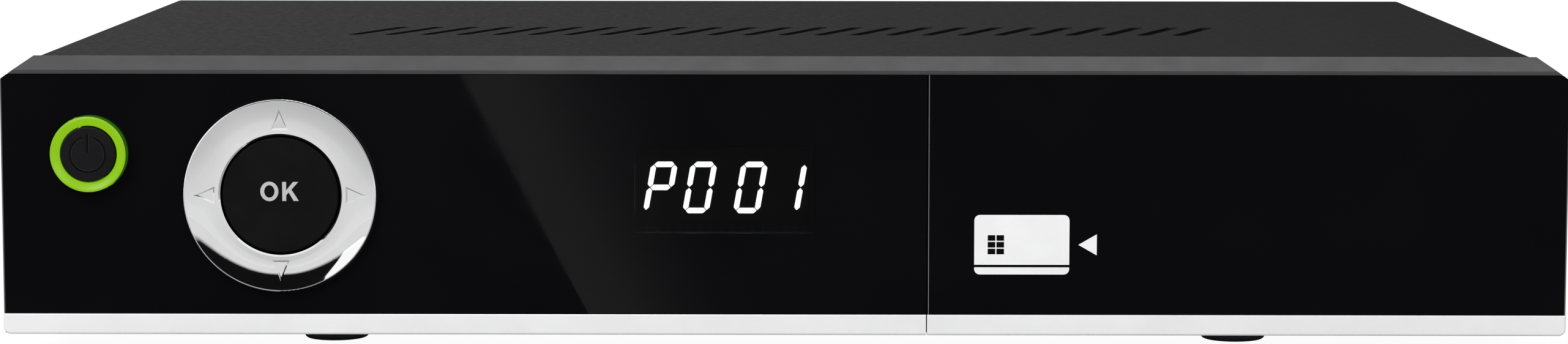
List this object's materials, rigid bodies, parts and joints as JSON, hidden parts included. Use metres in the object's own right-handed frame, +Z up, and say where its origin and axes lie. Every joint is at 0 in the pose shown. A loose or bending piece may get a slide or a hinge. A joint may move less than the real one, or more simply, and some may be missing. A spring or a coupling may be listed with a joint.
{
  "type": "satellite receiver",
  "caption": "Low black satellite television receiver with a glossy front, lit digits, four-way ring, power button and a drop-down flap over its sockets.",
  "frame": {"origin": "centre of the bounding box in plan, on the surface that the feet stand on", "axes": "+Z up, +X to the right seen from the front, the front faces -Y"},
  "size_m": [0.28, 0.1786, 0.0531],
  "materials": {
    "cover_paint": "fine textured matt powder coat",
    "chassis_steel": "zinc-coated sheet",
    "frame_plastic": "satin moulded plastic",
    "gloss_black": "piano gloss",
    "smoked_window": "gloss, see-through to the lit digits",
    "white_trim": "gloss moulded plastic",
    "ring_silver": "satin",
    "key_black": "satin moulded plastic",
    "green_light": "lit light pipe",
    "foot_rubber": "moulded",
    "board_green": "glass-fibre board with solder mask",
    "inner_black": "moulded",
    "tinned_steel": "tinned sheet",
    "nickel": "nickel plate",
    "screw_steel": "black zinc plate",
    "digit_white": "lit segments",
    "display_grey": "moulded",
    "sink_black": "black anodised",
    "chip_black": "moulded",
    "can_sleeve": "shrunk sleeve",
    "ribbon_grey": "flat ribbon"
  },
  "bodies": {
    "case": {"top_cover": "cover_paint", "base_chassis": "chassis_steel", "cover_screws": "screw_steel", "foot_front_left": "foot_rubber", "foot_front_right": "foot_rubber", "foot_rear_left": "foot_rubber", "foot_rear_right": "foot_rubber", "front_frame": "frame_plastic", "front_lens": "gloss_black", "display_window": "smoked_window", "trim_strip": "white_trim", "flap_latch": "inner_black", "flap_hinge_pins": "nickel", "ok_key": "inner_black", "power_key": "inner_black", "power_light_ring": "green_light", "nav_keys": "inner_black", "display_digits": "digit_white", "display_module": "display_grey", "remote_eye": "inner_black", "front_board": "board_green", "power_leds": "green_light", "front_board_screws": "screw_steel", "frame_screws": "screw_steel", "main_board": "board_green", "main_board_screws": "screw_steel", "tuner_can": "tinned_steel", "aerial_input_socket": "nickel", "aerial_output_socket": "nickel", "picture_socket": "tinned_steel", "network_socket": "inner_black", "front_bus_socket": "tinned_steel", "rear_bus_socket": "tinned_steel", "optical_socket": "inner_black", "round_socket_block": "inner_black", "round_sockets": "nickel", "supply_socket": "inner_black", "card_reader": "inner_black", "processor": "chip_black", "heat_sink": "sink_black", "memory_chips": "chip_black", "capacitors": "can_sleeve", "power_coils": "chip_black", "ribbon_headers": "inner_black", "ribbon_cable": "ribbon_grey"},
    "flap": {"flap_panel": "gloss_black", "flap_trim": "white_trim", "flap_carrier": "frame_plastic"},
    "power_key_body": {"power_button": "key_black", "power_key_plunger": "inner_black"},
    "ok_key_body": {"ok_button": "key_black", "ok_key_plunger": "inner_black"},
    "ring_gimbal": {"nav_ring_gimbal": "inner_black"},
    "four_way_ring": {"nav_ring": "ring_silver"}
  },
  "joints": [
    {"name": "flap_hinge", "type": "hinge", "parent": "case", "child": "flap", "pos_m": [0.08, -0.08545, 0.0045], "axis": [1, 0, 0], "range_deg": [0, 90]},
    {"name": "power_press", "type": "slide", "parent": "case", "child": "power_key_body", "axis": [0, 1, 0], "range_m": [0, 0.0006], "stiffness_N_per_m": 600},
    {"name": "ok_press", "type": "slide", "parent": "case", "child": "ok_key_body", "axis": [0, 1, 0], "range_m": [0, 0.0005], "stiffness_N_per_m": 600},
    {"name": "ring_rock_up_down", "type": "hinge", "parent": "case", "child": "ring_gimbal", "pos_m": [-0.09, -0.08275, 0.02845], "axis": [1, 0, 0], "range_deg": [-1.5, 1.5], "stiffness_Nm_per_rad": 0.2},
    {"name": "ring_rock_sideways", "type": "hinge", "parent": "ring_gimbal", "child": "four_way_ring", "pos_m": [-0.09, -0.08275, 0.02845], "axis": [0, 0, 1], "range_deg": [-1.5, 1.5], "stiffness_Nm_per_rad": 0.2}
  ]
}
